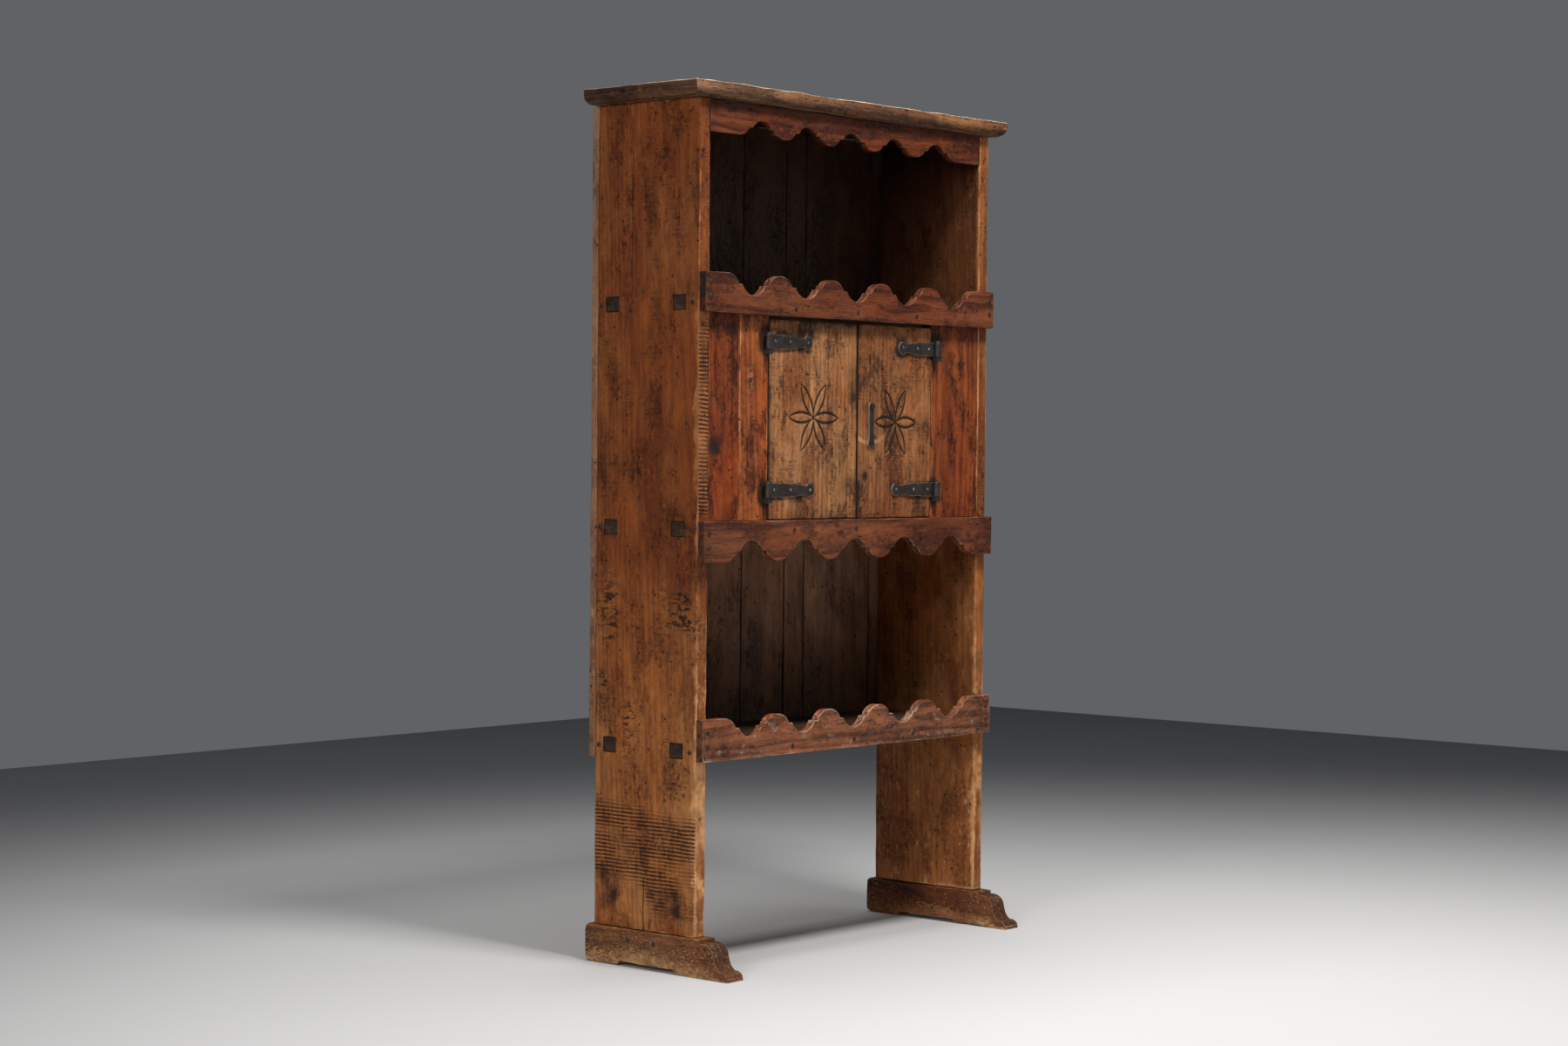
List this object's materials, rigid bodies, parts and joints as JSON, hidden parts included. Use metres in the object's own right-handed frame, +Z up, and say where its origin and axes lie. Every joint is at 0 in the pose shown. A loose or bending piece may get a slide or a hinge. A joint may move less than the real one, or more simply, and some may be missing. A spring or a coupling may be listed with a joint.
{
  "type": "rustic cupboard dresser",
  "caption": "Tall rustic wooden dresser on sledge feet: open shelves with scalloped rails above and below a small cupboard with strap-hinged plank doors and an iron turn button.",
  "frame": {"origin": "on the floor, at the middle of the object's box", "axes": "+Z up, +X to the viewer's right, the doors face -Y"},
  "size_m": [1, 0.392, 1.7522],
  "materials": {
    "side_wood": "old waxed pine, worn",
    "front_wood": "old red-brown waxed pine",
    "rail_wood": "dark red-brown waxed pine, worn edges",
    "door_wood": "worn tan pine",
    "top_wood": "dry greyish pine",
    "foot_wood": "brown pine worn to yellow",
    "inner_wood": "dark unfinished pine",
    "forged_iron": "black-brown hammered iron"
  },
  "bodies": {
    "case": {"back_board_1": "inner_wood", "back_board_2": "inner_wood", "back_board_3": "inner_wood", "back_board_4": "inner_wood", "back_board_5": "inner_wood", "back_board_6": "inner_wood", "back_board_nails": "forged_iron", "bottom_shelf": "inner_wood", "door_stop": "inner_wood", "door_stop_nails": "forged_iron", "front_board_nails": "forged_iron", "inner_front_board": "front_wood", "left_foot": "foot_wood", "left_foot_nails": "forged_iron", "left_side_board": "side_wood", "left_side_nails": "forged_iron", "lower_gallery_nails": "forged_iron", "lower_gallery_rail": "rail_wood", "lower_left_pintle": "forged_iron", "lower_right_pintle": "forged_iron", "middle_apron_nails": "forged_iron", "middle_apron_rail": "rail_wood", "middle_shelf": "inner_wood", "outer_front_board": "front_wood", "right_foot": "foot_wood", "right_foot_nails": "forged_iron", "right_front_board": "front_wood", "right_side_board": "side_wood", "right_side_nails": "forged_iron", "top_apron": "rail_wood", "top_board": "top_wood", "top_nails": "forged_iron", "upper_gallery_nails": "forged_iron", "upper_gallery_rail": "rail_wood", "upper_left_pintle": "forged_iron", "upper_right_pintle": "forged_iron", "upper_shelf": "inner_wood"},
    "left_door": {"left_door": "door_wood", "upper_left_strap": "forged_iron", "lower_left_strap": "forged_iron", "left_door_nails": "forged_iron"},
    "right_door": {"right_door": "door_wood", "upper_right_strap": "forged_iron", "lower_right_strap": "forged_iron", "right_door_nails": "forged_iron", "button_nail": "forged_iron"},
    "turn_button": {"turn_button": "forged_iron"}
  },
  "joints": [
    {"name": "left_door_hinge", "type": "hinge", "parent": "case", "child": "left_door", "pos_m": [-0.266, -0.10958, 0.95], "axis": [0, 0, -1], "range_deg": [0, 170]},
    {"name": "right_door_hinge", "type": "hinge", "parent": "case", "child": "right_door", "pos_m": [0.28, -0.10958, 0.95], "axis": [0, 0, 1], "range_deg": [0, 170]},
    {"name": "turn_button_pivot", "type": "hinge", "parent": "right_door", "child": "turn_button", "pos_m": [0.065, -0.104, 1.1245], "axis": [0, 1, 0], "continuous": true}
  ]
}
